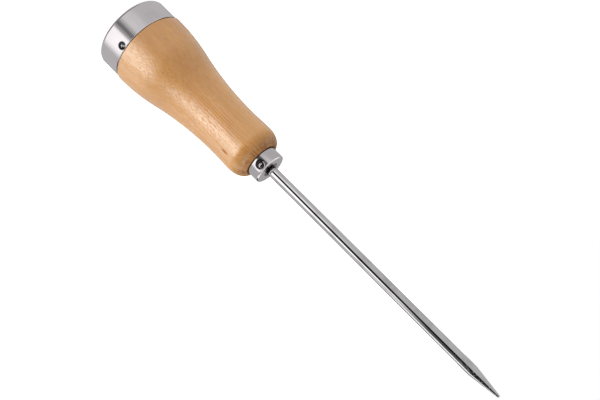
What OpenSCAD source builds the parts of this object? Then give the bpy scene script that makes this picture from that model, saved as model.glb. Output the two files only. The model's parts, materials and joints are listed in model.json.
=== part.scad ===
// Ice pick: a round steel rod with a ground point, driven into a turned wooden handle that has
// a drawn steel cap on its butt and a drawn steel ferrule on its nose.
// It stands on the cap: the origin is the middle of the cap's flat end, and +Z runs to the tip.
// Every size is in millimetres.

/* [Butt cap] */
// Outside diameter of the cap
cap_d = 36.6; // [34:0.1:36.8]
// Height of the cap, from its flat end to the wood
cap_l = 12.6; // [11:0.1:16]
// Radius of the corner round the flat end
cap_corner = 1.9; // [1.2:0.1:3]
// Thickness of the cap's sheet
cap_sheet = 0.6; // [0.4:0.1:0.8]

/* [Handle] */
// Diameter of the wood at the cap, its widest place
butt_d = 37.4; // [37.2:0.1:40]
// Length of the wood that shows, from the cap to the ferrule
wood_l = 74.4; // [72:0.1:90]
// Height of the waist above the flat end
waist_z = 69.5; // [55:0.5:73]
// Diameter of the waist
waist_d = 24.8; // [20:0.1:25]
// Diameter of the slight bulb in front of the waist
bulb_d = 25.3; // [25.2:0.1:28]
// Length of the rounded nose
nose_l = 7.7; // [5:0.1:9]
// Diameter of the flat shoulder where the nose ends
shoulder_d = 16.4; // [15.6:0.1:18]
// Radius of the wood's edge beside the cap
wood_edge = 0.5; // [0.3:0.1:0.9]
// Share of the flare that bulges out before it hollows in
bulge_share = 0.37; // [0.25:0.01:0.55]

/* [Ferrule] */
// Outside diameter of the ferrule
ferrule_d = 15.3; // [14:0.1:15.5]
// Length of the ferrule
ferrule_l = 6.1; // [5.5:0.1:9]
// Radius of the ferrule's front corner
ferrule_corner = 0.7; // [0.3:0.1:1.2]
// Thickness of the ferrule's sheet
ferrule_sheet = 0.8; // [0.7:0.1:1]
// Gap all round the tang in the ferrule's hole
ferrule_gap = 0.1; // [0.05:0.05:0.15]

/* [Pick] */
// Diameter of the shank
shank_d = 4.8; // [4.6:0.1:6]
// Length of the pick that shows, from the ferrule to the tip
pick_l = 134.3; // [90:0.1:160]
// Length of the ground point
point_l = 14.8; // [8:0.1:30]
// Radius of the blunt tip
tip_r = 0.6; // [0.2:0.05:1]
// Diameter of the tang, the thinner length behind the ferrule's front
tang_d = 4.4; // [3.6:0.1:4.5]
// Depth of the tang in the wood
tang_l = 46; // [30:1:60]
// Length of the bevel from the tang up to the shank
root_bevel = 0.3; // [0.2:0.1:1]

/* [Brads] */
// Diameter of a brad's shank
brad_d = 1.2; // [0.9:0.1:1.4]
// Diameter of a brad's head
brad_head_d = 2.2; // [1.8:0.1:2.4]
// Length of the cap's brad under its head
cap_brad_l = 8; // [5:0.5:11]
// Length of the ferrule's brad under its head
ferrule_brad_l = 3; // [2.2:0.1:3.2]
// Width of the dimple in the cap
cap_dimple_d = 3.2; // [3:0.1:3.6]
// Width of the dimple in the ferrule
ferrule_dimple_d = 3.6; // [3.2:0.1:3.8]
// Depth of a dimple
dimple_depth = 0.55; // [0.4:0.05:0.6]
// Distance of the cap's brad from the cap's rim
cap_brad_down = 2.2; // [2:0.1:6]
// Distance of the ferrule's brad from the ferrule's front
ferrule_brad_back = 2.5; // [2.4:0.1:3]
// Turn of the cap's brad about the axis, from +X
cap_brad_turn = -66; // [-180:1:180]
// Turn of the ferrule's brad about the axis, from +X
ferrule_brad_turn = -76; // [-180:1:180]

/* [Hidden] */
$fn = 96;

// Heights of the seams, from the flat end up
seam_z = cap_l;
shoulder_z = seam_z + wood_l;
front_z = shoulder_z + ferrule_l;
tip_z = front_z + pick_l;
bulb_z = shoulder_z - nose_l;
spigot_z = front_z - ferrule_sheet;

// Inside of the two sheet cups, which is the outside of the wood's spigots
cap_bore_r = cap_d / 2 - cap_sheet;
cap_inner_corner = cap_corner - cap_sheet;
ferrule_bore_r = ferrule_d / 2 - ferrule_sheet;

// The two arcs of the flare: both are level at their ends, and they meet with one slope
flare_run = waist_z - seam_z;
flare_drop = (butt_d - waist_d) / 2;
flare_r = (flare_run ^ 2 + flare_drop ^ 2) / (2 * flare_drop);
bulge_r = flare_r * bulge_share;
hollow_r = flare_r - bulge_r;
meet_z = seam_z + flare_run * bulge_share;

// Points along each stretch of the wood's outline
flare_steps = 28;
bulb_steps = 8;
nose_steps = 14;
corner_steps = 6;

// How far a dimple's wall widens for each millimetre up from its floor
dimple_slant = 0.7;
// How far a cut runs past the surface that it opens
past = 1;

// Height of a brad's domed head, and the length of its point
brad_head_h = 0.5;
brad_point_l = 0.8;

tang_chamfer = 0.6;
wood_colour = [0.85, 0.66, 0.43];
steel_colour = [0.80, 0.80, 0.82];
brad_colour = [0.55, 0.54, 0.55];

// Points of an arc about [r, z], from one angle to another
function arc_points(r, z, radius, from, to) =
    [for (i = [0 : corner_steps]) let (a = from + (to - from) * i / corner_steps)
        [r + radius * cos(a), z + radius * sin(a)]];

// Radius of the flare at height z: an arc that bulges out, then one that hollows in
function flare(z) = z < meet_z
    ? butt_d / 2 - bulge_r + sqrt(bulge_r ^ 2 - (z - seam_z) ^ 2)
    : waist_d / 2 + hollow_r - sqrt(hollow_r ^ 2 - (waist_z - z) ^ 2);

// Radius of the rise from the waist to the bulb, where u runs from 0 to 1, level at both ends
function bulb_rise(u) = waist_d / 2 + (bulb_d - waist_d) / 2 * (3 * u ^ 2 - 2 * u ^ 3);

flare_start_z = seam_z + wood_edge;
flare_points = [for (i = [1 : flare_steps])
    let (z = flare_start_z + (waist_z - flare_start_z) * i / flare_steps) [flare(z), z]];
bulb_points = [for (i = [1 : bulb_steps])
    let (u = i / bulb_steps) [bulb_rise(u), waist_z + (bulb_z - waist_z) * u]];
// The nose is a quarter of an ellipse that ends square to the axis at the shoulder
nose_points = [for (i = [1 : nose_steps])
    let (a = 90 * i / nose_steps)
        [bulb_d / 2 - (bulb_d - shoulder_d) / 2 * (1 - cos(a)), bulb_z + nose_l * sin(a)]];

// Carries a shape that is drawn along +Z to a place on the side of a round piece, facing outwards
module on_side(radius, height, turn) {
    rotate([0, 0, turn]) translate([radius, 0, height]) rotate([0, 90, 0]) children();
}

// Hollow of a dimple: a wide shallow cone that opens outwards, with its flat floor at the given depth
module dimple_hollow(width) {
    floor_d = width - 2 * dimple_slant * dimple_depth;
    mouth_d = width + 2 * dimple_slant * past;
    translate([0, 0, -dimple_depth])
        cylinder(h = dimple_depth + past, d1 = floor_d, d2 = mouth_d);
}

// Sheet metal that is pushed into the wood behind a dimple
module dimple_back(width, sheet) {
    back_d = width - 2 * dimple_slant * dimple_depth + sheet;
    front_d = back_d + 2 * dimple_slant * dimple_depth;
    translate([0, 0, -dimple_depth - sheet])
        cylinder(h = dimple_depth + sheet / 2, d1 = back_d, d2 = front_d);
}

// One brad with the underside of its head at zero and its shank running down
module brad(length) {
    dome_r = ((brad_head_d / 2) ^ 2 + brad_head_h ^ 2) / (2 * brad_head_h);
    intersection() {
        translate([0, 0, brad_head_h - dome_r]) sphere(r = dome_r);
        cylinder(h = brad_head_h + past, d = brad_head_d + past);
    }
    translate([0, 0, brad_point_l - length]) cylinder(h = length - brad_point_l, d = brad_d);
    translate([0, 0, -length]) cylinder(h = brad_point_l, d1 = brad_d / 3, d2 = brad_d);
}

// Round hole for a brad's shank, through the sheet and to the brad's end
module brad_hole(length) {
    translate([0, 0, -length]) cylinder(h = length + past, d = brad_d);
}

module at_cap_brad() {
    on_side(cap_d / 2, seam_z - cap_brad_down, cap_brad_turn) children();
}

module at_ferrule_brad() {
    on_side(ferrule_d / 2, front_z - ferrule_brad_back, ferrule_brad_turn) children();
}

// Turned wood with a spigot at each end, a blind bore for the tang and a seat for each dimple
module handle() {
    outline = concat(
        [[0, cap_sheet]],
        arc_points(cap_bore_r - cap_inner_corner, cap_corner, cap_inner_corner, -90, 0),
        [[cap_bore_r, seam_z]],
        arc_points(butt_d / 2 - wood_edge, seam_z + wood_edge, wood_edge, -90, 0),
        flare_points,
        bulb_points,
        nose_points,
        [[ferrule_bore_r, shoulder_z], [ferrule_bore_r, spigot_z], [0, spigot_z]]
    );
    color(wood_colour) difference() {
        rotate_extrude() polygon(outline);
        translate([0, 0, spigot_z - tang_l]) cylinder(h = tang_l + past, d = tang_d);
        at_cap_brad() dimple_back(cap_dimple_d, cap_sheet);
        at_cap_brad() translate([0, 0, -dimple_depth]) brad_hole(cap_brad_l);
        at_ferrule_brad() dimple_back(ferrule_dimple_d, ferrule_sheet);
        at_ferrule_brad() translate([0, 0, -dimple_depth]) brad_hole(ferrule_brad_l);
    }
}

// Drawn cup with a flat end, an even sheet and one dimple near its rim
module butt_cap() {
    cup = concat(
        [[0, 0]],
        arc_points(cap_d / 2 - cap_corner, cap_corner, cap_corner, -90, 0),
        [[cap_d / 2, seam_z], [cap_bore_r, seam_z]],
        arc_points(cap_bore_r - cap_inner_corner, cap_corner, cap_inner_corner, 0, -90),
        [[0, cap_sheet]]
    );
    color(steel_colour) difference() {
        union() {
            rotate_extrude() polygon(cup);
            at_cap_brad() dimple_back(cap_dimple_d, cap_sheet);
        }
        at_cap_brad() dimple_hollow(cap_dimple_d);
        at_cap_brad() translate([0, 0, -dimple_depth]) brad_hole(cap_brad_l);
    }
}

// Drawn cup that faces forwards, with a hole for the tang and one dimple in its side
module ferrule() {
    hole_r = tang_d / 2 + ferrule_gap;
    cup = concat(
        [[ferrule_bore_r, shoulder_z], [ferrule_d / 2, shoulder_z]],
        arc_points(ferrule_d / 2 - ferrule_corner, front_z - ferrule_corner, ferrule_corner, 0, 90),
        [[hole_r, front_z], [hole_r, spigot_z], [ferrule_bore_r, spigot_z]]
    );
    color(steel_colour) difference() {
        union() {
            rotate_extrude() polygon(cup);
            at_ferrule_brad() dimple_back(ferrule_dimple_d, ferrule_sheet);
        }
        at_ferrule_brad() dimple_hollow(ferrule_dimple_d);
        at_ferrule_brad() translate([0, 0, -dimple_depth]) brad_hole(ferrule_brad_l);
    }
}

// Round rod: a thinner tang that stops at the end of its bore, the shank and the ground point
module pick() {
    shank_r = shank_d / 2;
    tang_r = tang_d / 2;
    tang_z = spigot_z - tang_l;
    // The point's cone runs on into the ball of the tip with one slope
    ball_z = tip_z - tip_r;
    cone_l = point_l - tip_r;
    half_angle = atan(shank_r / cone_l) - asin(tip_r / sqrt(shank_r ^ 2 + cone_l ^ 2));
    outline = concat(
        [[0, tang_z], [tang_r - tang_chamfer, tang_z], [tang_r, tang_z + tang_chamfer]],
        [[tang_r, front_z], [shank_r, front_z + root_bevel], [shank_r, tip_z - point_l]],
        arc_points(0, ball_z, tip_r, half_angle, 90)
    );
    color(steel_colour) rotate_extrude() polygon(outline);
}

module cap_brad() {
    color(brad_colour) at_cap_brad() translate([0, 0, -dimple_depth]) brad(cap_brad_l);
}

module ferrule_brad() {
    color(brad_colour) at_ferrule_brad() translate([0, 0, -dimple_depth]) brad(ferrule_brad_l);
}

handle();
butt_cap();
ferrule();
pick();
cap_brad();
ferrule_brad();
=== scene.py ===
import json
import math

import bmesh
import bpy
import numpy as np
from mathutils import Matrix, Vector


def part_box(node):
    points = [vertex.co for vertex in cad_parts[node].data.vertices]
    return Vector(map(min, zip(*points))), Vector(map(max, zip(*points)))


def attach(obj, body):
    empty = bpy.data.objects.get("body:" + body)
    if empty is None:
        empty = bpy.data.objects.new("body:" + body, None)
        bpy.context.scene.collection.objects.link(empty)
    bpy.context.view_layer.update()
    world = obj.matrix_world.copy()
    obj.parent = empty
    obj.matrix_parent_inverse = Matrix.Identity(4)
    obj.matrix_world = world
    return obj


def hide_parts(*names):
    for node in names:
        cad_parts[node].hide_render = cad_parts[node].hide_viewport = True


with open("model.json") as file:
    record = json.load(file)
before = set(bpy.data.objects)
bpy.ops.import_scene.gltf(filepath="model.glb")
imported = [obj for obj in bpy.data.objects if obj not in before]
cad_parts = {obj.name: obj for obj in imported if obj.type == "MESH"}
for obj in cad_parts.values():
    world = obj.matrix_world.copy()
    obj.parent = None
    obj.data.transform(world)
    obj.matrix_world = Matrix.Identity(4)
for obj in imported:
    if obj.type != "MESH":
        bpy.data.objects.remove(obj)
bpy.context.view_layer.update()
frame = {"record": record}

# Handle
# One billet of pale hardwood, turned on a lathe, sanded and dipped in clear varnish.
# A spigot at each end is hidden in the steel cap and ferrule that are pressed over it,
# and a blind bore up the middle holds the tang of the pick.
mm = 0.001
wood_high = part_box("handle")[1]
cap_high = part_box("butt_cap")[1]
ferrule_low, ferrule_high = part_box("ferrule")
cap_sheet = 0.6 * mm
ferrule_sheet = 0.8 * mm
seam_z = cap_high.z
shoulder_z = ferrule_low.z
front_z = ferrule_high.z
spigot_z = front_z - ferrule_sheet
cap_r = cap_high.x
cap_bore_r = cap_r - cap_sheet
cap_corner = 1.9 * mm
inner_corner = cap_corner - cap_sheet
ferrule_r = ferrule_high.x
ferrule_bore_r = ferrule_r - ferrule_sheet
butt_r = wood_high.x
wood_edge = 0.5 * mm
waist_z = 69.5 * mm
waist_r = 12.4 * mm
bulb_r = 12.65 * mm
nose_l = 7.7 * mm
shoulder_r = 8.2 * mm
bulge_share = 0.37
bore_r = 2.22 * mm
bore_l = 46.0 * mm

# The two punched dimples lie this far round the axis from +X, and this far along it
cap_brad_turn = math.radians(-66)
cap_brad_z = seam_z - 2.2 * mm
cap_dimple_d = 3.2 * mm
cap_dent_reach = 0.2 * mm
ferrule_brad_turn = math.radians(-76)
ferrule_brad_z = front_z - 2.5 * mm
ferrule_dimple_d = 3.6 * mm
ferrule_dent_reach = 1.0 * mm
dimple_depth = 0.55 * mm
dimple_wall = 0.6 * mm
dent_depth = 0.11 * mm

# Columns of every turned piece: even all round, and close together across the two dimples
even_turns = np.linspace(-math.pi, math.pi, 180, endpoint=False)
dimple_turns = np.radians(np.arange(-94.0, -57.0, 0.3))
turns = np.unique(np.concatenate([even_turns, dimple_turns]))

# Points closer than this are one point, and edges sharper than this stay crisp
merge_distance = 0.0005 * mm
crisp_angle = math.radians(40)


def smooth_step(u):
    """Rises from nothing to one with level ends, as 3u^2 - 2u^3 with u held between nothing and one."""
    u = np.clip(u, 0, 1)
    return 3 * u ** 2 - 2 * u ** 3


def arc(r, z, radius, start, end, steps):
    """Points of an arc about (r, z): its angle runs in even steps from start to end, in degrees."""
    angle = np.radians(np.linspace(start, end, steps + 1))
    return np.stack([r + radius * np.cos(angle), z + radius * np.sin(angle)], axis=-1)


def line(start, end, steps):
    """Points of a straight stretch of a profile, evenly spaced from start to end."""
    return np.linspace(start, end, steps + 1)


def dimple(height, middle_z, middle_turn, wall_r, width, dent_reach):
    """Depth of a punched dimple all over a round wall. The distance from its middle is taken along the arc
    and up the wall. The depth is whole on the floor and eases off at the mouth, as a smooth step. Around the
    mouth the sheet is dented a little, by the square of what is left of the dent's reach."""
    away = (turns - middle_turn + math.pi) % (2 * math.pi) - math.pi
    distance = np.hypot(wall_r * away, height - middle_z)
    dent = dent_depth * np.clip(1 - (distance - width / 2) / dent_reach, 0, 1) ** 2
    inside = smooth_step((width / 2 + dimple_wall / 4 - distance) / dimple_wall)
    return dent + (dimple_depth - dent) * inside


def cap_dimple(height):
    """Depth of the cap's dimple at rows of these heights, at every column."""
    return dimple(height, cap_brad_z, cap_brad_turn, cap_r, cap_dimple_d, cap_dent_reach)


def ferrule_dimple(height):
    """Depth of the ferrule's dimple at rows of these heights, at every column."""
    return dimple(height, ferrule_brad_z, ferrule_brad_turn, ferrule_r, ferrule_dimple_d, ferrule_dent_reach)


def spread(outline):
    """A profile spread over every column: its distance from the axis at each, and the height of each row."""
    return np.repeat(outline[:, :1], turns.size, axis=1), outline[:, 1:]


def round_faces(here):
    """Faces between neighbours in a grid of point numbers, in which the last column joins the first."""
    beside = np.roll(here, -1, axis=1)
    return np.stack([here[:-1], beside[:-1], beside[1:], here[1:]], axis=-1).reshape(-1, 4)


def turned_mesh(name, radius, height, ring=False):
    """A profile carried round the Z axis: row i, column j lies radius[i, j] from the axis at height[i],
    turned by turns[j]. Rows on the axis shrink to one point, and a ring's last row joins its first."""
    height = np.broadcast_to(height, radius.shape)
    points = np.stack([radius * np.cos(turns), radius * np.sin(turns), height], axis=-1).reshape(-1, 3)
    here = np.arange(radius.size).reshape(radius.shape)
    if ring:
        here = np.vstack([here, here[:1]])
    return smooth_mesh(name, points, round_faces(here))


def smooth_mesh(name, points, faces):
    """A mesh with its doubled points merged, shaded smooth except across its crisp edges."""
    mesh = bpy.data.meshes.new(name)
    mesh.from_pydata(points, [], faces)
    shell = bmesh.new()
    shell.from_mesh(mesh)
    bmesh.ops.remove_doubles(shell, verts=shell.verts, dist=merge_distance)
    shell.to_mesh(mesh)
    shell.free()
    mesh.shade_smooth()
    mesh.set_sharp_from_angle(angle=crisp_angle)
    return mesh


def add_piece(mesh, node, material):
    """Puts a piece in the scene in place of a solid, riding on the one body."""
    piece = bpy.data.objects.new(mesh.name, mesh)
    bpy.context.scene.collection.objects.link(piece)
    mesh.materials.append(material)
    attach(piece, "root")
    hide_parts(node)
    return piece


def add_node(tree, kind, inputs=None, **options):
    """Adds a shader node, sets its options, and gives each named input a value or a link."""
    made = tree.nodes.new(kind)
    for option, value in options.items():
        setattr(made, option, value)
    for socket, value in (inputs or {}).items():
        if isinstance(value, bpy.types.NodeSocket):
            tree.links.new(value, made.inputs[socket])
        else:
            made.inputs[socket].default_value = value
    return made


def add_mix(tree, how, amount, first, second):
    """Adds a mix of two colours and puts out its result."""
    # The colour sockets of the mix node are its inputs 6 and 7 and its output 2
    mix = add_node(tree, "ShaderNodeMix", {0: amount, 6: first, 7: second}, data_type="RGBA", blend_type=how)
    return mix.outputs[2]


def add_blend(tree, amount, first, second):
    """Adds a blend of two numbers, from the first to the second, and puts out its result."""
    return add_node(tree, "ShaderNodeMix", {0: amount, 2: first, 3: second}).outputs[0]


def add_math(tree, how, first, second=0.0):
    """Adds one step of arithmetic and puts out its result."""
    return add_node(tree, "ShaderNodeMath", {0: first, 1: second}, operation=how).outputs[0]


def add_vector(tree, how, first, second=(0.0, 0.0, 0.0)):
    """Adds one step of vector arithmetic and puts out its result: a number for a length or a distance."""
    step = add_node(tree, "ShaderNodeVectorMath", {0: first, 1: second}, operation=how)
    return step.outputs["Value" if how in ("LENGTH", "DISTANCE") else "Vector"]


def add_range(tree, value, low, high, to_low=0.0, to_high=1.0):
    """Adds a smooth step that takes the values from low to high to those from to_low to to_high."""
    inputs = {"Value": value, "From Min": low, "From Max": high, "To Min": to_low, "To Max": to_high}
    return add_node(tree, "ShaderNodeMapRange", inputs, interpolation_type="SMOOTHSTEP").outputs[0]


def add_band(tree, value, start, full, fade, end):
    """Adds a band of a value: nothing up to start, one from full to fade, and nothing past end."""
    return add_math(tree, "MULTIPLY", add_range(tree, value, start, full), add_range(tree, value, end, fade))


def add_streaks(tree, place, scale, detail=2.0):
    """Adds noise drawn out along the axes by its three scales, in lines per metre, and puts out its value."""
    drawn = add_node(tree, "ShaderNodeMapping", {"Vector": place, "Scale": scale}).outputs[0]
    return add_node(tree, "ShaderNodeTexNoise", {"Vector": drawn, "Scale": 1.0, "Detail": detail}).outputs[0]


def add_spot(tree, place, middle, half_width, half_length):
    """Adds a soft spot drawn out along the axis: one in its middle fifth, and nothing at its half width and
    half length."""
    shrink = (1 / half_width, 1 / half_width, 1 / half_length)
    away = add_vector(tree, "MULTIPLY", add_vector(tree, "SUBTRACT", place, middle), shrink)
    return add_range(tree, add_vector(tree, "LENGTH", away), 1.0, 0.2)


def new_material(name):
    """An empty node material and its tree."""
    material = bpy.data.materials.new(name)
    material.use_nodes = True
    material.node_tree.nodes.clear()
    return material, material.node_tree


def add_place(tree):
    """Adds the place on the piece, in metres from the origin."""
    return add_node(tree, "ShaderNodeTexCoord").outputs["Object"]


# Keeps what lies across the axis of a place, and drops what lies along it
across = (1.0, 1.0, 0.0)


def add_round(tree, place):
    """Adds a place's height and its distance from the axis, and how far it lies towards +X and towards +Y, as
    shares of that distance."""
    axes = add_node(tree, "ShaderNodeSeparateXYZ", {0: place}).outputs
    from_axis = add_vector(tree, "LENGTH", add_vector(tree, "MULTIPLY", place, across))
    sideways = add_math(tree, "DIVIDE", axes["X"], from_axis)
    backward = add_math(tree, "DIVIDE", axes["Y"], from_axis)
    return axes["Z"], from_axis, sideways, backward


def finish_material(tree, shader):
    """Leads a shader to the material's output."""
    add_node(tree, "ShaderNodeOutputMaterial", {"Surface": shader.outputs[0]})


def layer_edges(tree, place):
    """The dark edges of the growth layers: crests of a sine of the distance from a far pith, made to wander
    by noise drawn out along the grain."""
    pith = (-46.0 * mm, 4.0 * mm, 0.0)
    layer = 1.1 * mm
    wander_layers = 1.2
    wander_scale = (110.0, 110.0, 11.0)
    wander_detail = 3.0
    crest = (0.55, 1.0)
    from_pith = add_vector(tree, "MULTIPLY", add_vector(tree, "SUBTRACT", place, pith), across)
    reach = add_math(tree, "MULTIPLY", add_vector(tree, "LENGTH", from_pith), 2 * math.pi / layer)
    noise = add_streaks(tree, place, wander_scale, wander_detail)
    wander = add_math(tree, "MULTIPLY", noise, 2 * math.pi * wander_layers)
    wave = add_math(tree, "SINE", add_math(tree, "ADD", reach, wander))
    return add_range(tree, wave, *crest)


def joint_dirt_and_shade(tree, height, from_axis, sideways):
    """Dirt and painted shade in the wood's two joints: in the groove at the cap, wider on one side, and on
    the shoulder close around the ferrule."""
    wide_side = (-0.45, -0.8)
    extra_width = 0.35 * mm
    groove = (seam_z + 0.52 * mm, seam_z + 0.34 * mm)
    shoulder = (shoulder_z - 1.0 * mm, shoulder_z - 0.4 * mm)
    collar = (ferrule_r + 0.7 * mm, ferrule_r + 0.4 * mm)
    wider = add_math(tree, "MULTIPLY", add_range(tree, sideways, *wide_side), extra_width)
    at_seam = add_range(tree, add_math(tree, "SUBTRACT", height, wider), *groove)
    on_shoulder = add_range(tree, height, *shoulder)
    at_ferrule = add_math(tree, "MULTIPLY", on_shoulder, add_range(tree, from_axis, *collar))
    return add_math(tree, "MAXIMUM", at_seam, at_ferrule)


def nose_specks(tree, place, height, sideways, backward):
    """Dark specks near the ferrule, and strokes of end grain that run out from the axis like spokes."""
    speck_scale = (1000.0, 1000.0, 700.0)
    speck_level = (0.53, 0.60)
    speck_span = (shoulder_z - 4.5 * mm, shoulder_z - 0.4 * mm)
    stroke_scale = (8.0, 8.0, 1.0)
    stroke_level = (0.50, 0.57)
    stroke_span = (shoulder_z - 3.4 * mm, shoulder_z - 1.0 * mm)
    specks = add_range(tree, add_streaks(tree, place, speck_scale), *speck_level)
    specks = add_math(tree, "MULTIPLY", specks, add_range(tree, height, *speck_span))
    spoke = add_node(tree, "ShaderNodeCombineXYZ", {"X": sideways, "Y": backward}).outputs[0]
    strokes = add_range(tree, add_streaks(tree, spoke, stroke_scale), *stroke_level)
    strokes = add_math(tree, "MULTIPLY", strokes, add_range(tree, height, *stroke_span))
    return add_math(tree, "MAXIMUM", specks, strokes)


def wood_grain(tree, place):
    """Patches, fibres and pores, which are noise drawn out along the grain, and the growth layers. These show
    clearly in one figured place and faintly in the deeper patches, broken up by the fibres."""
    rich_detail = 3.0
    plain_detail = 1.0
    patch_scale = (70.0, 70.0, 26.0)
    fibre_scale = (2100.0, 2100.0, 75.0)
    pore_scale = (2000.0, 2000.0, 120.0)
    pore_level = (0.66, 0.76)
    figure_middle = (1.0 * mm, -12.4 * mm, 66.0 * mm)
    figure_half_width = 9.0 * mm
    figure_half_length = 26.0 * mm
    deep_level = (0.5, 0.4)
    faint_share = 0.2
    broken_level = (0.25, 0.5)
    patches = add_streaks(tree, place, patch_scale, rich_detail)
    fibres = add_streaks(tree, place, fibre_scale, rich_detail)
    pores = add_range(tree, add_streaks(tree, place, pore_scale, plain_detail), *pore_level)
    figure = add_spot(tree, place, figure_middle, figure_half_width, figure_half_length)
    faintly = add_range(tree, patches, *deep_level, 0.0, faint_share)
    shown = add_math(tree, "MAXIMUM", figure, faintly)
    layers = add_math(tree, "MULTIPLY", layer_edges(tree, place), shown)
    layers = add_math(tree, "MULTIPLY", layers, add_range(tree, fibres, *broken_level))
    return patches, fibres, pores, figure, layers


def varnish_mottle(tree, place, height):
    """Noise of the uneven varnish, dappled low down and streaky higher up, and how strongly it shows, which
    is less towards the nose."""
    plain_detail = 1.0
    dapple_scale = (2400.0, 2400.0, 1700.0)
    streak_scale = (2400.0, 2400.0, 600.0)
    streaky_span = (40.0 * mm, 58.0 * mm)
    calm_span = (60.0 * mm, 74.0 * mm)
    calm_share = 0.5
    dappled = add_streaks(tree, place, dapple_scale, plain_detail)
    streaky = add_streaks(tree, place, streak_scale, plain_detail)
    mottle = add_blend(tree, add_range(tree, height, *streaky_span), dappled, streaky)
    return mottle, add_range(tree, height, *calm_span, 1.0, calm_share)


def varnish_weight(tree, height, backward, mottle, uneven, worn_off):
    """How much of the varnish's gloss shows: less where it dried thin, is a little matt towards the nose or
    has worn off. It fades at a graze, so that the outline keeps the wood's colour, except on the two front
    flanks."""
    thin_level = (0.38, 0.62)
    thin_most = 0.62
    matt_span = (60.0 * mm, 74.0 * mm)
    matt_weight = 0.87
    graze = (0.44, 0.74)
    graze_fade = 0.9
    flanks = (-0.65, -0.5, -0.15, 0.0)
    thin = add_math(tree, "MULTIPLY", add_range(tree, mottle, *thin_level, 0.0, thin_most), uneven)
    gloss = add_math(tree, "SUBTRACT", add_range(tree, height, *matt_span, 1.0, matt_weight), thin)
    gloss = add_math(tree, "MULTIPLY", gloss, add_math(tree, "SUBTRACT", 1.0, worn_off))
    facing = add_node(tree, "ShaderNodeLayerWeight", {"Blend": 0.5}).outputs["Facing"]
    off_flank = add_math(tree, "SUBTRACT", 1.0, add_band(tree, backward, *flanks))
    grazed = add_math(tree, "MULTIPLY", add_range(tree, facing, *graze, 0.0, graze_fade), off_flank)
    return add_math(tree, "MULTIPLY", gloss, add_math(tree, "SUBTRACT", 1.0, grazed))


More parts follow.
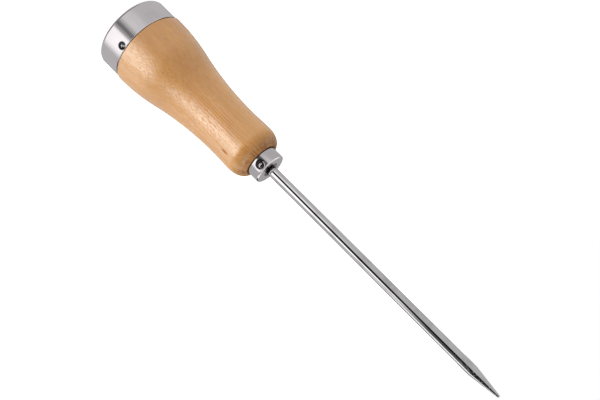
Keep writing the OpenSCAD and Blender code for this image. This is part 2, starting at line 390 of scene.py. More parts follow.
def varnished_wood():
    """Faint growth layers, fibres and pores along the grain, and one small fleck of heartwood. The varnish
    dried uneven. The nose is browner and specked, with painted shade over it. Painted shade darkens the flare
    below the waist, most where it is steepest, and dirt and painted shade darken both joints."""
    material, tree = new_material("varnished_wood")
    place = add_place(tree)
    height, from_axis, sideways, backward = add_round(tree, place)

    # Colours of the wood, tones that multiply them, and stains that cover them. The flare, belt and nose
    # tones
    #     # hold painted shade, and the joint stain is dirt and painted shade
    pale = (0.845, 0.428, 0.134, 1.0)
    deep = (0.740, 0.350, 0.095, 1.0)
    layer_tone = (0.660, 0.480, 0.330, 1.0)
    fibre_tone = (0.900, 0.860, 0.810, 1.0)
    # Painted shade on the flare: darker below the waist, and in a belt where the flare is steepest
    flare_shade_tone = (0.930, 0.910, 0.880, 1.0)
    belt_shade_tone = (0.910, 0.905, 0.880, 1.0)
    figure_tone = (1.100, 1.110, 1.120, 1.0)
    # The nose tone is partly the wood's browner colour and partly painted shade
    nose_brown_and_shade_tone = (0.570, 0.528, 0.440, 1.0)
    fleck_tone = (0.620, 0.330, 0.150, 1.0)
    pore_brown = (0.250, 0.095, 0.024, 1.0)
    joint_brown_and_shade = (0.045, 0.022, 0.010, 1.0)

    # Levels of the noise, places along the handle, and shares
    patch_level = (0.3, 0.7)
    fibre_level = (0.35, 0.65)
    fleck_middle = (8.4 * mm, -9.3 * mm, 75.5 * mm)
    fleck_half_width = 0.9 * mm
    fleck_half_length = 3.0 * mm
    flare_shade_span = (58.0 * mm, 36.0 * mm)
    belt_shade_span = (23.0 * mm, 33.0 * mm, 37.0 * mm, 48.0 * mm)
    nose_span = (shoulder_z - 8.0 * mm, shoulder_z - 0.6 * mm)
    speck_share = 0.8
    pore_share = 0.35
    nose_wear = 0.6
    fleck_wear = 0.7
    pore_depth = 0.3
    grain_depth = 0.05 * mm
    sheen_level = (0.3, 0.7)
    roughness_ends = (0.42, 0.54)

    patches, fibres, pores, figure, layers = wood_grain(tree, place)
    fleck = add_spot(tree, place, fleck_middle, fleck_half_width, fleck_half_length)
    at_nose = add_range(tree, height, *nose_span)
    joint_dirt_and_shade_mask = joint_dirt_and_shade(tree, height, from_axis, sideways)
    specks = nose_specks(tree, place, height, sideways, backward)
    colour = add_mix(tree, "MIX", add_range(tree, patches, *patch_level), deep, pale)
    tones = (
        (layers, layer_tone),
        (add_range(tree, fibres, *fibre_level), fibre_tone),
        # Painted shade below the waist and on the steepest part of the flare
        (add_range(tree, height, *flare_shade_span), flare_shade_tone),
        (add_band(tree, height, *belt_shade_span), belt_shade_tone),
        (figure, figure_tone),
        # Browner wood and painted shade on the nose
        (at_nose, nose_brown_and_shade_tone),
        (fleck, fleck_tone),
    )
    for mask, tone in tones:
        colour = add_mix(tree, "MULTIPLY", mask, colour, tone)
    stains = (
        (add_math(tree, "MULTIPLY", specks, speck_share), pore_brown),
        (add_math(tree, "MULTIPLY", pores, pore_share), pore_brown),
        # Dirt and painted shade darken both joints
        (joint_dirt_and_shade_mask, joint_brown_and_shade),
    )
    for mask, stain in stains:
        colour = add_mix(tree, "MIX", mask, colour, stain)

    mottle, uneven = varnish_mottle(tree, place, height)
    worn_off = add_math(tree, "MAXIMUM", add_math(tree, "MULTIPLY", at_nose, nose_wear), joint_dirt_and_shade_mask)
    worn_off = add_math(tree, "MAXIMUM", worn_off, add_math(tree, "MULTIPLY", fleck, fleck_wear))
    raised = add_math(tree, "ADD", fibres, add_math(tree, "MULTIPLY", mottle, uneven))
    relief = add_math(tree, "SUBTRACT", raised, add_math(tree, "MULTIPLY", pores, pore_depth))
    bump = {"Height": relief, "Strength": 1.0, "Distance": grain_depth}
    grain = add_node(tree, "ShaderNodeBump", bump).outputs[0]
    inputs = {
        "Base Color": colour,
        "Roughness": add_range(tree, mottle, *sheen_level, *roughness_ends),
        "Normal": grain,
        "Coat Weight": varnish_weight(tree, height, backward, mottle, uneven, worn_off),
        "Specular IOR Level": 0.1,
        "Coat Roughness": 0.14,
        "Coat IOR": 1.9,
        "Coat Normal": grain,
    }
    finish_material(tree, add_node(tree, "ShaderNodeBsdfPrincipled", inputs))
    return material


def handle_profile():
    """The wood's outline from the butt end round to the bottom of its bore: two arcs that meet with one slope
    make the flare, a smooth step rises to the bulb, and a quarter of an ellipse makes the nose."""
    run = waist_z - seam_z
    drop = butt_r - waist_r
    flare_r = (run ** 2 + drop ** 2) / (2 * drop)
    bulge_r = flare_r * bulge_share
    hollow_r = flare_r - bulge_r
    meet_z = seam_z + run * bulge_share
    bulb_z = shoulder_z - nose_l

    z = np.linspace(seam_z + wood_edge, waist_z, 150)
    bulging = butt_r - bulge_r + np.sqrt(np.maximum(bulge_r ** 2 - (z - seam_z) ** 2, 0))
    hollowing = waist_r + hollow_r - np.sqrt(np.maximum(hollow_r ** 2 - (waist_z - z) ** 2, 0))
    flare = np.stack([np.where(z < meet_z, bulging, hollowing), z], axis=-1)

    u = np.linspace(0, 1, 32)
    swell = waist_r + (bulb_r - waist_r) * smooth_step(u)
    bulb = np.stack([swell, waist_z + (bulb_z - waist_z) * u], axis=-1)
    a = np.linspace(0, math.pi / 2, 40)
    nose = np.stack([bulb_r - (bulb_r - shoulder_r) * (1 - np.cos(a)), bulb_z + nose_l * np.sin(a)], axis=-1)
    return np.vstack([
        line((0, cap_sheet), (cap_bore_r - inner_corner, cap_sheet), 3),
        arc(cap_bore_r - inner_corner, cap_corner, inner_corner, -90, 0, 6),
        line((cap_bore_r, cap_corner), (cap_bore_r, seam_z), 30),
        arc(butt_r - wood_edge, seam_z + wood_edge, wood_edge, -90, 0, 10),
        flare,
        bulb,
        nose,
        line((shoulder_r, shoulder_z), (ferrule_bore_r, shoulder_z), 2),
        line((ferrule_bore_r, shoulder_z), (ferrule_bore_r, spigot_z), 24),
        line((ferrule_bore_r, spigot_z), (bore_r, spigot_z), 2),
        line((bore_r, spigot_z), (bore_r, spigot_z - bore_l), 4),
        line((bore_r, spigot_z - bore_l), (0, spigot_z - bore_l), 1),
    ])


wood_r, wood_z = spread(handle_profile())
in_cap = wood_r == cap_bore_r
in_ferrule = wood_r == ferrule_bore_r
wood_r = wood_r - in_cap * cap_dimple(wood_z) - in_ferrule * ferrule_dimple(wood_z)
handle = add_piece(turned_mesh("turned_handle", wood_r, wood_z), "handle", varnished_wood())

# Butt cap
# A shallow cup drawn from thin sheet steel, polished and plated bright, pressed over the butt spigot.
# Its rim is turned in a little at the wood, and one punch mark near the rim holds a brad.
rim_bevel = 0.29 * mm
rim_l = 0.36 * mm

# Rows this close to an edge keep the shading of the flat beside it even
end_margin = 0.3 * mm
corner_margin = 0.1 * mm
edge_margin = 0.05 * mm


def polish_group():
    """Shared by the bright steels: fine rubbed lines and faint smudges. Lines run round the axis where the
    profile scale is the larger one, and along the profile where the round scale is."""
    group = bpy.data.node_groups.new("polish", "ShaderNodeTree")
    sockets = (
        ("Place", "INPUT", "NodeSocketVector"),
        ("Round Scale", "INPUT", "NodeSocketFloat"),
        ("Profile Scale", "INPUT", "NodeSocketFloat"),
        ("Smudge Scale", "INPUT", "NodeSocketFloat"),
        ("Least Roughness", "INPUT", "NodeSocketFloat"),
        ("Most Roughness", "INPUT", "NodeSocketFloat"),
        ("Roughness", "OUTPUT", "NodeSocketFloat"),
        ("Lines", "OUTPUT", "NodeSocketFloat"),
        ("Smudges", "OUTPUT", "NodeSocketFloat"),
    )
    for name, side, kind in sockets:
        group.interface.new_socket(name, in_out=side, socket_type=kind)
    given = add_node(group, "NodeGroupInput").outputs
    axes = add_node(group, "ShaderNodeSeparateXYZ", {0: given["Place"]}).outputs
    flat = add_node(group, "ShaderNodeCombineXYZ", {"X": axes["X"], "Y": axes["Y"]}).outputs[0]
    along = add_math(group, "ADD", axes["Z"], add_vector(group, "LENGTH", flat))
    scaled = {
        "X": add_math(group, "MULTIPLY", axes["X"], given["Round Scale"]),
        "Y": add_math(group, "MULTIPLY", axes["Y"], given["Round Scale"]),
        "Z": add_math(group, "MULTIPLY", along, given["Profile Scale"]),
    }
    line_place = add_node(group, "ShaderNodeCombineXYZ", scaled).outputs[0]
    line_inputs = {"Vector": line_place, "Scale": 1.0, "Detail": 2.0}
    lines = add_node(group, "ShaderNodeTexNoise", line_inputs).outputs[0]
    smudge_inputs = {"Vector": given["Place"], "Scale": given["Smudge Scale"], "Detail": 3.0}
    smudges = add_node(group, "ShaderNodeTexNoise", smudge_inputs).outputs[0]
    usual = (0.3, 0.7)
    wear = add_math(group, "MULTIPLY", add_range(group, lines, *usual), add_range(group, smudges, *usual))
    wear_inputs = {"Value": wear, "To Min": given["Least Roughness"], "To Max": given["Most Roughness"]}
    roughness = add_node(group, "ShaderNodeMapRange", wear_inputs).outputs[0]
    add_node(group, "NodeGroupOutput", {"Roughness": roughness, "Lines": lines, "Smudges": smudges})
    return group


polish = polish_group()


def add_polish(tree, place, round_scale, profile_scale, smudge_scale, roughness):
    """Places the shared polish in a material, with scales per metre and the least and most roughness."""
    inputs = {
        "Place": place,
        "Round Scale": round_scale,
        "Profile Scale": profile_scale,
        "Smudge Scale": smudge_scale,
        "Least Roughness": roughness[0],
        "Most Roughness": roughness[1],
    }
    return add_node(tree, "ShaderNodeGroup", inputs, node_tree=polish).outputs


def finish_metal(tree, colour, roughness, marks, strength, depth):
    """Leads the colour, the roughness and the relief of fine marks to a bare metal's shader."""
    bump = {"Height": marks, "Strength": strength, "Distance": depth}
    relief = add_node(tree, "ShaderNodeBump", bump).outputs[0]
    inputs = {"Base Color": colour, "Metallic": 1.0, "Roughness": roughness, "Normal": relief}
    finish_material(tree, add_node(tree, "ShaderNodeBsdfPrincipled", inputs))


def add_punch_mark(tree, place, wall_r, height, turn, start, full):
    """Adds a spot about a point on a round wall: nothing at the distance start from it, and one at full."""
    middle = (wall_r * math.cos(turn), wall_r * math.sin(turn), height)
    return add_range(tree, add_vector(tree, "DISTANCE", place, middle), start, full)


def plate_dirt_and_shade(tree, place, height, from_axis, sideways, lines):
    """Where the plate is painted black: painted shade in both punch marks and along one side of the cap's
    rim, and dirt and painted shade at the ferrule's joint with the wood and in broken lines round the foot of
    the pick."""
    cap_mark = (cap_dimple_d / 2 + 0.5 * mm, cap_dimple_d / 2 + 0.15 * mm)
    ferrule_mark = (ferrule_dimple_d / 2 + 0.3 * mm, ferrule_dimple_d / 2)
    ferrule_mark_z = ferrule_brad_z - 0.4 * mm
    joint_span = (shoulder_z - 1.0 * mm, shoulder_z, shoulder_z + 0.15 * mm, shoulder_z + 0.3 * mm)
    face_span = (front_z - 0.2 * mm, front_z - 0.1 * mm)
    foot_reach = (4.2 * mm, 3.4 * mm)
    foot_lines = (0.36, 0.46)
    rim_span = (seam_z - 0.75 * mm, seam_z - 0.45 * mm, seam_z + 1.0 * mm, seam_z + 2.0 * mm)
    rim_side = (0.55, 0.85)
    # Painted shade in the cap's punch mark
    dirt_and_shade = add_punch_mark(tree, place, cap_r, cap_brad_z, cap_brad_turn, *cap_mark)
    # Painted shade in the ferrule's punch mark
    on_ferrule = add_punch_mark(
        tree, place, ferrule_r, ferrule_mark_z, ferrule_brad_turn, *ferrule_mark
    )
    # Dirt and painted shade at the ferrule's joint with the wood
    joint = add_band(tree, height, *joint_span)
    # Dirt and painted shade in broken lines round the foot of the pick
    foot = add_math(
        tree, "MULTIPLY", add_range(tree, height, *face_span), add_range(tree, from_axis, *foot_reach)
    )
    foot = add_math(tree, "MULTIPLY", foot, add_range(tree, lines, *foot_lines))
    # Painted shade along one side of the cap's rim
    rim = add_band(tree, height, *rim_span)
    rim = add_math(tree, "MULTIPLY", rim, add_range(tree, sideways, *rim_side))
    for mark in (on_ferrule, joint, foot, rim):
        dirt_and_shade = add_math(tree, "MAXIMUM", dirt_and_shade, mark)
    return dirt_and_shade


def plated_steel():
    """Bright plate over drawn sheet: fine rubbed lines along the axis, faint smudges, and black that is dirt
    and painted shade. The ferrule is a little darker than the cap."""
    material, tree = new_material("plated_steel")
    place = add_place(tree)
    bright = (0.855, 0.805, 0.825, 1.0)
    dulled = (0.780, 0.735, 0.755, 1.0)
    black_dirt_and_shade = (0.040, 0.037, 0.037, 1.0)
    ferrule_tone = (0.880, 0.880, 0.885, 1.0)
    blackened_roughness = 0.3
    wear_level = (0.32, 0.68)
    line_strength = 1.0
    line_depth = 0.02 * mm
    ferrule_span = (shoulder_z - 1.0 * mm, shoulder_z)
    height, from_axis, sideways = add_round(tree, place)[:3]
    rubbed = add_polish(
        tree, place, round_scale=1900.0, profile_scale=90.0, smudge_scale=160.0, roughness=(0.05, 0.14)
    )
    dirt_and_shade = plate_dirt_and_shade(tree, place, height, from_axis, sideways, rubbed["Lines"])
    at_ferrule = add_range(tree, height, *ferrule_span)
    wear = add_math(tree, "MULTIPLY", add_math(tree, "ADD", rubbed["Smudges"], rubbed["Lines"]), 0.5)
    colour = add_mix(tree, "MIX", add_range(tree, wear, *wear_level), bright, dulled)
    colour = add_mix(tree, "MULTIPLY", at_ferrule, colour, ferrule_tone)
    # Black dirt and painted shade over the plate
    colour = add_mix(tree, "MIX", dirt_and_shade, colour, black_dirt_and_shade)
    roughness = add_blend(tree, dirt_and_shade, rubbed["Roughness"], blackened_roughness)
    finish_metal(tree, colour, roughness, rubbed["Lines"], line_strength, line_depth)
    return material


plate = plated_steel()
cap_wall, cap_z = spread(np.vstack([
    line((0, 0), (cap_r - cap_corner - end_margin, 0), 12),
    arc(cap_r - cap_corner, cap_corner, cap_corner, -90, 0, 20),
    line((cap_r, cap_corner + corner_margin), (cap_r, seam_z - rim_l - edge_margin), 70),
    line((cap_r, seam_z - rim_l), (cap_r - rim_bevel, seam_z), 6),
    line((cap_bore_r, seam_z), (cap_bore_r, cap_corner), 60),
    arc(cap_bore_r - inner_corner, cap_corner, inner_corner, 0, -90, 8),
    line((cap_bore_r - inner_corner, cap_sheet), (0, cap_sheet), 6),
]))
in_side = cap_wall >= cap_bore_r
cap_wall = cap_wall - in_side * cap_dimple(cap_z)
add_piece(turned_mesh("drawn_butt_cap", cap_wall, cap_z), "butt_cap", plate)

# Cap brad
# A short round-headed steel brad, driven through the dimple into the wood so that the cap stays on.
# Its head is left as it was pressed, duller than the plate around it, and its near-black colour is painted
# shade in the dimple.
brad_head_r = 1.1 * mm
brad_head_h = 0.5 * mm
brad_r = 0.6 * mm
brad_point_l = 0.8 * mm
brad_tip_r = brad_r / 3
cap_brad_l = 8.0 * mm


def brad_steel():
    """Pressed wire steel, near black with bright flecks, and with no direction to its marks. The near black
    is painted shade in the dimple.
    """
    material, tree = new_material("brad_steel")
    painted_shade_dark = (0.040, 0.036, 0.036, 1.0)
    light = (0.920, 0.900, 0.900, 1.0)
    fleck_level = (0.47, 0.52)
    fleck_roughness = 0.5
    mark_strength = 0.3
    mark_depth = 0.04 * mm
    rubbed = add_polish(
        tree,
        add_place(tree),
        round_scale=2500.0,
        profile_scale=2500.0,
        smudge_scale=900.0,
        roughness=(0.12, 0.32),
    )
    flecks = add_range(tree, rubbed["Smudges"], *fleck_level)
    # Painted shade darkens the head, with bright flecks of bare steel
    colour = add_mix(tree, "MIX", flecks, painted_shade_dark, light)
    roughness = add_blend(tree, flecks, rubbed["Roughness"], fleck_roughness)
    finish_metal(tree, colour, roughness, rubbed["Lines"], mark_strength, mark_depth)
    return material


def brad_mesh(name, length, floor_r, height, turn):
    """A brad's profile carried round its own axis, which lies square to the wall: a domed head on the floor
    of the dimple, a straight shank and a short point. Distance out from the floor becomes distance from the
    Z axis."""
    dome_r = (brad_head_r ** 2 + brad_head_h ** 2) / (2 * brad_head_h)
    dome_half = math.degrees(math.asin(brad_head_r / dome_r))
    profile = np.vstack([
        line((0, -length), (brad_tip_r, -length), 1),
        line((brad_tip_r, -length), (brad_r, brad_point_l - length), 2),
        line((brad_r, brad_point_l - length), (brad_r, 0), 4),
        line((brad_r, 0), (brad_head_r, 0), 2),
        arc(0, brad_head_h - dome_r, dome_r, 90 - dome_half, 90, 14),
    ])
    spin = np.linspace(0, 2 * math.pi, 48, endpoint=False)
    out = floor_r + np.repeat(profile[:, 1:], spin.size, axis=1)
    side = profile[:, :1] * np.cos(spin)
    up = profile[:, :1] * np.sin(spin)
    points = np.stack([
        out * math.cos(turn) - side * math.sin(turn),
        out * math.sin(turn) + side * math.cos(turn),
        height + up,
    ], axis=-1).reshape(-1, 3)
    return smooth_mesh(name, points, round_faces(np.arange(out.size).reshape(out.shape)))


brad_metal = brad_steel()
cap_brad = brad_mesh("cap_brad_nail", cap_brad_l, cap_r - dimple_depth, cap_brad_z, cap_brad_turn)
add_piece(cap_brad, "cap_brad", brad_metal)

# Ferrule
# A small cup of the same plated sheet, drawn and pressed over the front spigot against the wood's shoulder.
# Its flat front has a hole for the pick, and its side a punch mark with a brad.
ferrule_corner = 0.7 * mm
hole_r = 2.3 * mm
rear_round = 0.3 * mm
ferrule_wall, ferrule_z = spread(np.vstack([
    line((ferrule_bore_r, shoulder_z), (ferrule_r - rear_round, shoulder_z), 2),
    arc(ferrule_r - rear_round, shoulder_z + rear_round, rear_round, -90, 0, 6),
    line(
        (ferrule_r, shoulder_z + rear_round + edge_margin),
        (ferrule_r, front_z - ferrule_corner - edge_margin),
        44,
    ),
    arc(ferrule_r - ferrule_corner, front_z - ferrule_corner, ferrule_corner, 0, 90, 16),
    line((ferrule_r - ferrule_corner - corner_margin, front_z), (hole_r + corner_margin, front_z), 12),
    line((hole_r, front_z), (hole_r, spigot_z), 3),
    line((hole_r, spigot_z), (ferrule_bore_r, spigot_z), 4),
    line((ferrule_bore_r, spigot_z - edge_margin), (ferrule_bore_r, shoulder_z + edge_margin), 40),
]))
inner_side = (ferrule_wall == ferrule_bore_r) & (ferrule_z < spigot_z)
outer_side = np.clip((ferrule_wall - ferrule_r + ferrule_corner) / ferrule_corner, 0, 1)
ferrule_wall = ferrule_wall - np.maximum(inner_side, outer_side) * ferrule_dimple(ferrule_z)
add_piece(turned_mesh("drawn_ferrule", ferrule_wall, ferrule_z, ring=True), "ferrule", plate)

# Ferrule brad
# The same kind of pressed steel brad, driven through the ferrule's dimple into the front spigot.
# Its shank is shorter, so that it stops clear of the tang.
ferrule_brad_l = 3.0 * mm
ferrule_brad = brad_mesh(
    "ferrule_brad_nail", ferrule_brad_l, ferrule_r - dimple_depth, ferrule_brad_z, ferrule_brad_turn
)
add_piece(ferrule_brad, "ferrule_brad", brad_metal)

# Pick
# One length of bright drawn steel rod. Its thinner tang is driven up the bore of the handle, the shank
# stands clear of the ferrule, and the far end is ground to a long cone with a blunt tip.
pick_low, pick_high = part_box("pick")
shank = next(mount for mount in frame["record"]["mounts"] if mount["name"] == "shank")
shank_r = shank["dims"]["r_mm"] * mm
tang_r = 2.2 * mm
tang_chamfer = 0.6 * mm
root_bevel = 0.3 * mm
point_l = 14.8 * mm
tip_r = 0.6 * mm
tang_z = pick_low.z
tip_z = pick_high.z
cone_z = tip_z - point_l


def polished_rod():
    """Bright rod with drawn lines along it, and a ground point with marks round it. The rod is pitted towards
    the point, and black where it leaves the ferrule, which is dark residue and painted shade."""
    material, tree = new_material("polished_rod")
    place = add_place(tree)
    bright = (0.800, 0.785, 0.790, 1.0)
    dulled = (0.640, 0.625, 0.630, 1.0)
    black_dirt_and_shade = (0.070, 0.065, 0.065, 1.0)
    smudge_scale = 240.0
    polished = (0.02, 0.05)
    pit_scale = (1500.0, 1500.0, 900.0)
    pit_level = (0.54, 0.62)
    pit_roughness = 0.3
    smudge_level = (0.4, 0.8)
    mark_strength = 0.06
    mark_depth = 0.01 * mm
    point_span = (cone_z - 0.4 * mm, cone_z + 0.4 * mm)
    pitted_span = (cone_z - 16.0 * mm, cone_z - 2.0 * mm)
    root_span = (front_z + 1.6 * mm, front_z + 0.7 * mm)
    shared = {"smudge_scale": smudge_scale, "roughness": polished}
    drawn = add_polish(tree, place, round_scale=3200.0, profile_scale=60.0, **shared)
    ground = add_polish(tree, place, round_scale=300.0, profile_scale=4200.0, **shared)
    height = add_node(tree, "ShaderNodeSeparateXYZ", {0: place}).outputs["Z"]
    on_point = add_range(tree, height, *point_span)
    at_root = add_range(tree, height, *root_span)
    pits = add_range(tree, add_streaks(tree, place, pit_scale), *pit_level)
    pits = add_math(tree, "MULTIPLY", pits, add_range(tree, height, *pitted_span))
    lines = add_blend(tree, on_point, drawn["Lines"], ground["Lines"])
    roughness = add_blend(tree, on_point, drawn["Roughness"], ground["Roughness"])
    roughness = add_blend(tree, pits, roughness, pit_roughness)
    colour = add_mix(tree, "MIX", add_range(tree, drawn["Smudges"], *smudge_level), bright, dulled)
    # Dark residue and painted shade where the rod leaves the ferrule
    colour = add_mix(tree, "MIX", at_root, colour, black_dirt_and_shade)
    finish_metal(tree, colour, roughness, lines, mark_strength, mark_depth)
    return material


# The tip is a ball that the cone meets along its side, so its arc starts at the cone's lean
cone_l = point_l - tip_r
cone_lean = math.degrees(math.atan(shank_r / cone_l) - math.asin(tip_r / math.hypot(shank_r, cone_l)))
tip = arc(0, tip_z - tip_r, tip_r, cone_lean, 90, 16)
pick_r, pick_z = spread(np.vstack([
    line((0, tang_z), (tang_r - tang_chamfer, tang_z), 2),
    line((tang_r - tang_chamfer, tang_z), (tang_r, tang_z + tang_chamfer), 2),
    line((tang_r, tang_z + tang_chamfer), (tang_r, front_z), 6),
    line((tang_r, front_z), (shank_r, front_z + root_bevel), 3),
    line((shank_r, front_z + root_bevel), (shank_r, cone_z), 60),
    line((shank_r, cone_z), tip[0], 50),
    tip,
]))
add_piece(turned_mesh("ground_pick", pick_r, pick_z), "pick", polished_rod())

# Studio
# A plain white floor and backdrop, one soft sun from the front left and even light all round.
# Bright steel shows what stands around it, so a ring of grey, white and black card stands out of sight,
# and a softbox that only the varnish shows makes the highlight down the handle.
scene = bpy.context.scene
scene.view_settings.view_transform = "Standard"
floor_reach = 9.0
floor_white = (0.95, 0.95, 0.95, 1.0)
floor_lift = 0.65
around_white = (1.0, 1.0, 1.0, 1.0)
around_strength = 0.64
sun_strength = 0.92
sun_angle = math.radians(60)
sun_turn = math.radians(76)
sun_rise = math.radians(36)


def add_backdrop_share(tree):
    """One on the rays that see the background: from the camera, from metal and through glass."""
    path = add_node(tree, "ShaderNodeLightPath").outputs
    seen = add_math(tree, "MAXIMUM", path["Is Camera Ray"], path["Is Glossy Ray"])
    return add_math(tree, "MAXIMUM", seen, path["Is Transmission Ray"])


world = bpy.data.worlds.new("studio")
scene.world = world
world.use_nodes = True
sky_tree = world.node_tree
sky_tree.nodes.clear()
sky_lift = add_math(sky_tree, "MULTIPLY", add_backdrop_share(sky_tree), 1.0 - around_strength)
sky_strength = add_math(sky_tree, "ADD", sky_lift, around_strength)
sky = add_node(sky_tree, "ShaderNodeBackground", {"Color": around_white, "Strength": sky_strength})
add_node(sky_tree, "ShaderNodeOutputWorld", {"Surface": sky.outputs[0]})

paper, paper_tree = new_material("white_floor")
matt = add_node(paper_tree, "ShaderNodeBsdfDiffuse", {"Color": floor_white})
paper_lift = add_math(paper_tree, "MULTIPLY", add_backdrop_share(paper_tree), floor_lift)
pale_glow = add_node(paper_tree, "ShaderNodeEmission", {"Color": floor_white, "Strength": paper_lift})
lifted = add_node(paper_tree, "ShaderNodeAddShader", {0: matt.outputs[0], 1: pale_glow.outputs[0]})
finish_material(paper_tree, lifted)
floor_side = np.array([-floor_reach, floor_reach])
floor_x, floor_y = np.meshgrid(floor_side, floor_side)
floor_points = np.stack([floor_x, floor_y, np.zeros((2, 2))], axis=-1).reshape(-1, 3)
floor_mesh = bpy.data.meshes.new("floor")
floor_mesh.from_pydata(floor_points, [], [(0, 1, 3, 2)])
floor_mesh.materials.append(paper)
floor = bpy.data.objects.new("floor", floor_mesh)
scene.collection.objects.link(floor)
floor.visible_glossy = False

sun_lamp = bpy.data.lights.new("soft_sun", "SUN")
sun_lamp.energy = sun_strength
sun_lamp.angle = sun_angle
sun = bpy.data.objects.new("soft_sun", sun_lamp)
sun.rotation_euler = (math.pi / 2 - sun_rise, 0.0, sun_turn)
sun.visible_glossy = False
scene.collection.objects.link(sun)

# Brightness of the cards, where one is as white as the background
grey = 0.52
light_grey = 0.80
far_grey = 0.08
flag_grey = 0.10
back_grey = 0.30
black = 0.01
soft_white = 1.15
hard_white = 1.40
rear_white = 1.00
crown = 1.15
overhead = 0.70
underfoot = 0.22
card_white = (1.0, 1.0, 1.0, 1.0)
softbox_white = (0.78, 0.90, 0.95, 1.0)
softbox_strength = 4.3
ring_distance = 4.0
softbox_distance = 3.8


def ease(value, start, end):
    """Nothing at start and one at end, with a smooth step between them. It falls where end is the lower."""
    return smooth_step((value - start) / (end - start))


def band(value, start, full, fade, end):
    """Nothing up to start, one from full to fade and nothing past end, with smooth steps between them."""
    return ease(value, start, full) * ease(value, end, fade)


def cover(glow, level, share):
    """Puts a card over what is behind it: a share of one shows the card, and nothing what was there."""
    return glow + (level - glow) * share


def ring_glow(turn, rise):
    """Brightness of the ring of cards by its turn from the front to the right, which is +X, and its rise, in
    degrees. Each card covers those before it. The cap mirrors the ring low down, the ferrule above that, and
    the rod above both, with its root the lowest."""
    behind = np.abs(turn)
    cap_rise = (-19, -23)
    ferrule_rise = (-15.2, -15.8)
    root_rise = (-9, -12, -15.2, -15.8)
    at_cap = ease(rise, *cap_rise)
    at_ferrule = ease(rise, *ferrule_rise) * (1 - at_cap)
    at_root = band(rise, *root_rise)

    # Sides of the black strip: it leans over as it climbs past the ferrule, its right side the more
    left_start = -22
    left_lean = 1.45
    right_start = 12
    right_lean = 2.4
    climb_start = -16
    climb_most = 14
    right_climb_most = 9
    ferrule_shift = 7
    cap_shift = 12
    shift_rise = (-16, -19)
    climb = np.clip(rise - climb_start, 0, climb_most)
    strip_left = left_start + left_lean * climb + ferrule_shift * at_ferrule
    strip_right = right_start + right_lean * np.minimum(climb, right_climb_most)
    strip_right = strip_right + cap_shift * ease(rise, *shift_rise)

    # A pale card left of the strip, brighter for the root and dimmer for the cap and the ferrule
    pale_turn = (-60, -26)
    pale_edge = (5, 0)
    pale_rise = (-5, -13)
    pale_lift = 0.25
    cap_fade = 0.5
    ferrule_fade = 0.85
    pale_right = ease(turn - strip_left - cap_shift * at_cap, *pale_edge)
    pale_card = ease(turn, *pale_turn) * pale_right * ease(rise, *pale_rise)
    pale_share = pale_card * (1 - cap_fade * at_cap - ferrule_fade * at_ferrule)
    glow = cover(np.full(turn.shape, grey), light_grey + pale_lift * at_root, pale_share)

    # A card on the right that brightens as it rises, and a dark one beyond it
    right_turn = (62, 78, 106, 120)
    right_lift = 0.8
    right_lift_rise = (-10, 2)
    far_turn = (114, 126)
    far_rise = (-10, -2)
    glow = cover(glow, grey + right_lift * ease(rise, *right_lift_rise), band(turn, *right_turn))
    glow = cover(glow, far_grey, ease(turn, *far_turn) * ease(rise, *far_rise))

    # Two white cards right of the strip, of which the soft one is lower and wider, most of all for the cap
    white_edge = (-4, 6)
    soft_full = 51 + 13 * at_cap
    soft_end = 77 + 15 * at_cap
    soft_rise = (-8, -14)
    soft_lift = 0.2
    hard_turn = (62, 50)
    hard_rise = (2, -4)
    hard_fade = 0.22
    white_left = ease(turn - strip_right, *white_edge)
    soft_card = white_left * ease(turn, soft_end, soft_full) * ease(rise, *soft_rise)
    glow = cover(glow, soft_white + soft_lift * at_ferrule, soft_card)
    hard_card = white_left * ease(turn, *hard_turn) * ease(rise, *hard_rise)
    glow = cover(glow, hard_white - hard_fade * at_cap, hard_card)

    # A dark flag above the white cards, which widens and darkens as it rises
    flag_left = (17, 25)
    flag_right = 74
    flag_edge = (9, -9)
    flag_lean = 1.2
    flag_climb = np.clip(rise + 5, 0, 14)
    flag_rise = (-5.2, -0.5, 24, 32)
    flag_fall = 0.07
    flag_fall_rise = (4, 14)
    dark_flag = ease(turn, *flag_left) * ease(turn - flag_right - flag_lean * flag_climb, *flag_edge)
    dark_flag = dark_flag * band(rise, *flag_rise)
    glow = cover(glow, flag_grey - flag_fall * ease(rise, *flag_fall_rise), dark_flag)

    # The black strip itself, soft and a little dusty where the cap mirrors it
    left_edge = (-3, 4)
    right_edge = (5, -4)
    soft_strip_turn = (-5, 9, 9, 25)
    strip_top = (32, 24)
    ferrule_dust = 0.12
    cap_dust = 0.16
    strip = ease(turn - strip_left, *left_edge) * ease(turn - strip_right, *right_edge)
    strip = cover(strip, band(turn, *soft_strip_turn), at_cap) * ease(rise, *strip_top)
    glow = cover(glow, black + ferrule_dust * at_ferrule + cap_dust * at_cap, strip)

    # A grey strip and a narrow white card straight behind, then the top and the bottom of the ring
    back_turn = (145, 168)
    back_lift = 0.15
    back_lift_rise = (2, 12)
    rear_turn = (166, 174)
    rear_rise = (6, -2)
    crown_rise = (26, 34)
    overhead_rise = (50, 60)
    underfoot_rise = (-45, -65)
    glow = cover(glow, back_grey + back_lift * ease(rise, *back_lift_rise), ease(behind, *back_turn))
    glow = cover(glow, rear_white, ease(behind, *rear_turn) * ease(rise, *rear_rise))
    glow = cover(glow, crown, ease(rise, *crown_rise))
    glow = cover(glow, overhead, ease(rise, *overhead_rise))
    return cover(glow, underfoot, ease(rise, *underfoot_rise))


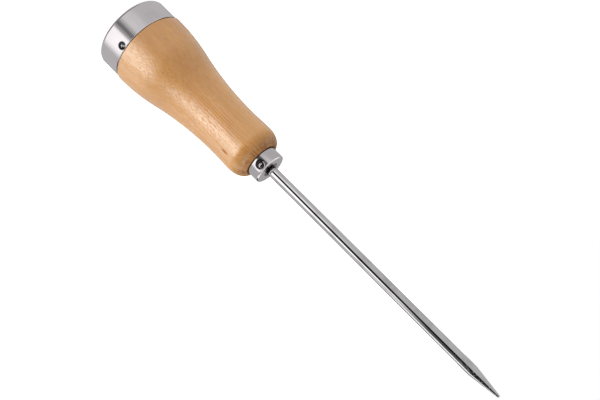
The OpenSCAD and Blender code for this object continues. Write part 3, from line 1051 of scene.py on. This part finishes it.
def softbox_glow(turn, rise):
    """Brightness of the softbox by the same turn and rise: soft-edged parts that add up. In front stand a
    broad middle, a faint wing all round that is stronger on the right, and a narrow part straight behind.
    Above, two arms light the nose from the right and the left, and end lower the further round they reach."""
    behind = np.abs(turn)
    middle_turn = (-16, 50, 52, 82)
    middle_level = 0.87
    right_turn = (50, 90, 95, 125)
    right_rise = (-5, -15)
    right_level = 0.28
    wing_end = (165, 140)
    wing_level = 0.1
    rear_turn = (168, 178)
    rear_level = 0.5
    front_rise = (2, -13, -36, -54)
    middle = middle_level * band(turn, *middle_turn)
    right_wing = right_level * band(turn, *right_turn) * ease(rise, *right_rise)
    wing = (wing_level + right_wing) * ease(behind, *wing_end)
    rear = rear_level * ease(behind, *rear_turn)
    front = (middle + wing + rear) * band(rise, *front_rise)

    right_arm = (15, 50)
    left_arm = (-50, -110)
    left_share = 0.7
    far_turn = (95, 130)
    far_gain = 0.9
    slope = 0.55
    sloping_top = (102, 90)
    level_top = (66, 52)
    low_rise = (0, 8)
    low_level = 0.12
    high_rise = (14, 44)
    high_level = 0.28
    arms = ease(turn, *right_arm) + left_share * ease(turn, *left_arm)
    arms = arms * (1 + far_gain * ease(behind, *far_turn))
    arms = arms * ease(rise + slope * behind, *sloping_top) * ease(rise, *level_top)
    arms = arms * (low_level * ease(rise, *low_rise) + high_level * ease(rise, *high_rise))
    return softbox_strength * (front + arms)


def add_card(name, turn_ends, rise_ends, distance, glow, card):
    """Puts up a card as part of a sphere about the object, one degree a step, with its brightness kept on its
    points. Only bright and varnished surfaces show it: it lights nothing else and throws no shadow."""
    turn_steps = np.arange(turn_ends[0], turn_ends[1] + 1)
    rise_steps = np.arange(rise_ends[0], rise_ends[1] + 1)
    turn, rise = np.meshgrid(turn_steps, rise_steps)
    turn_angle = np.radians(turn)
    rise_angle = np.radians(rise)
    points = distance * np.stack([
        np.cos(rise_angle) * np.sin(turn_angle),
        -np.cos(rise_angle) * np.cos(turn_angle),
        np.sin(rise_angle),
    ], axis=-1)
    here = np.arange(turn.size).reshape(turn.shape)
    faces = np.stack([here[:-1, :-1], here[:-1, 1:], here[1:, 1:], here[1:, :-1]], axis=-1).reshape(-1, 4)
    mesh = bpy.data.meshes.new(name)
    mesh.from_pydata(points.reshape(-1, 3), [], faces)
    mesh.attributes.new("glow", "FLOAT", "POINT").data.foreach_set("value", glow(turn, rise).ravel())
    mesh.materials.append(card)
    piece = bpy.data.objects.new(name, mesh)
    scene.collection.objects.link(piece)
    piece.visible_camera = False
    piece.visible_diffuse = False
    piece.visible_transmission = False
    piece.visible_shadow = False
    return piece


def card_material(name, colour, see_through):
    """Shines as brightly as the glow kept on the card's points. What is behind can show through as well."""
    card, tree = new_material(name)
    card.cycles.emission_sampling = "AUTO" if see_through else "NONE"
    glow = add_node(tree, "ShaderNodeAttribute", attribute_name="glow").outputs["Fac"]
    shader = add_node(tree, "ShaderNodeEmission", {"Color": colour, "Strength": glow})
    if see_through:
        clear = add_node(tree, "ShaderNodeBsdfTransparent")
        shader = add_node(tree, "ShaderNodeAddShader", {0: shader.outputs[0], 1: clear.outputs[0]})
    finish_material(tree, shader)
    return card


ring_card = card_material("studio_card", card_white, False)
add_card("card_ring", (-180, 180), (-90, 90), ring_distance, ring_glow, ring_card)
softbox_card = card_material("studio_softbox", softbox_white, True)
softbox = add_card("softbox", (-180, 180), (-56, 68), softbox_distance, softbox_glow, softbox_card)
varnished = bpy.data.collections.new("varnished")
varnished.objects.link(handle)
softbox.light_linking.receiver_collection = varnished

# Camera
# The photograph was taken on a long lens from a little above the butt, with the camera rolled so that the
# pick lies across the picture from corner to corner.
camera_lens = 60.0
camera_sensor = 36.0
camera_near = 10 * mm
camera_place = (0.33 * mm, -414.4 * mm, 215.77 * mm)
camera_pitch = math.radians(14.08)
camera_roll = math.radians(44.86)
toward = np.array([0.0, math.cos(camera_pitch), -math.sin(camera_pitch)])
level_up = np.array([0.0, math.sin(camera_pitch), math.cos(camera_pitch)])
level_right = np.array([1.0, 0.0, 0.0])
picture_right = math.cos(camera_roll) * level_up - math.sin(camera_roll) * level_right
picture_up = -math.sin(camera_roll) * level_up - math.cos(camera_roll) * level_right
lens = bpy.data.cameras.new("camera")
lens.lens = camera_lens
lens.sensor_width = camera_sensor
lens.clip_start = camera_near
camera = bpy.data.objects.new("camera", lens)
scene.collection.objects.link(camera)
turned = Matrix(np.column_stack([picture_right, picture_up, -toward]).tolist()).to_4x4()
camera.matrix_world = Matrix.Translation(camera_place) @ turned
scene.camera = camera

bpy.context.view_layer.update()
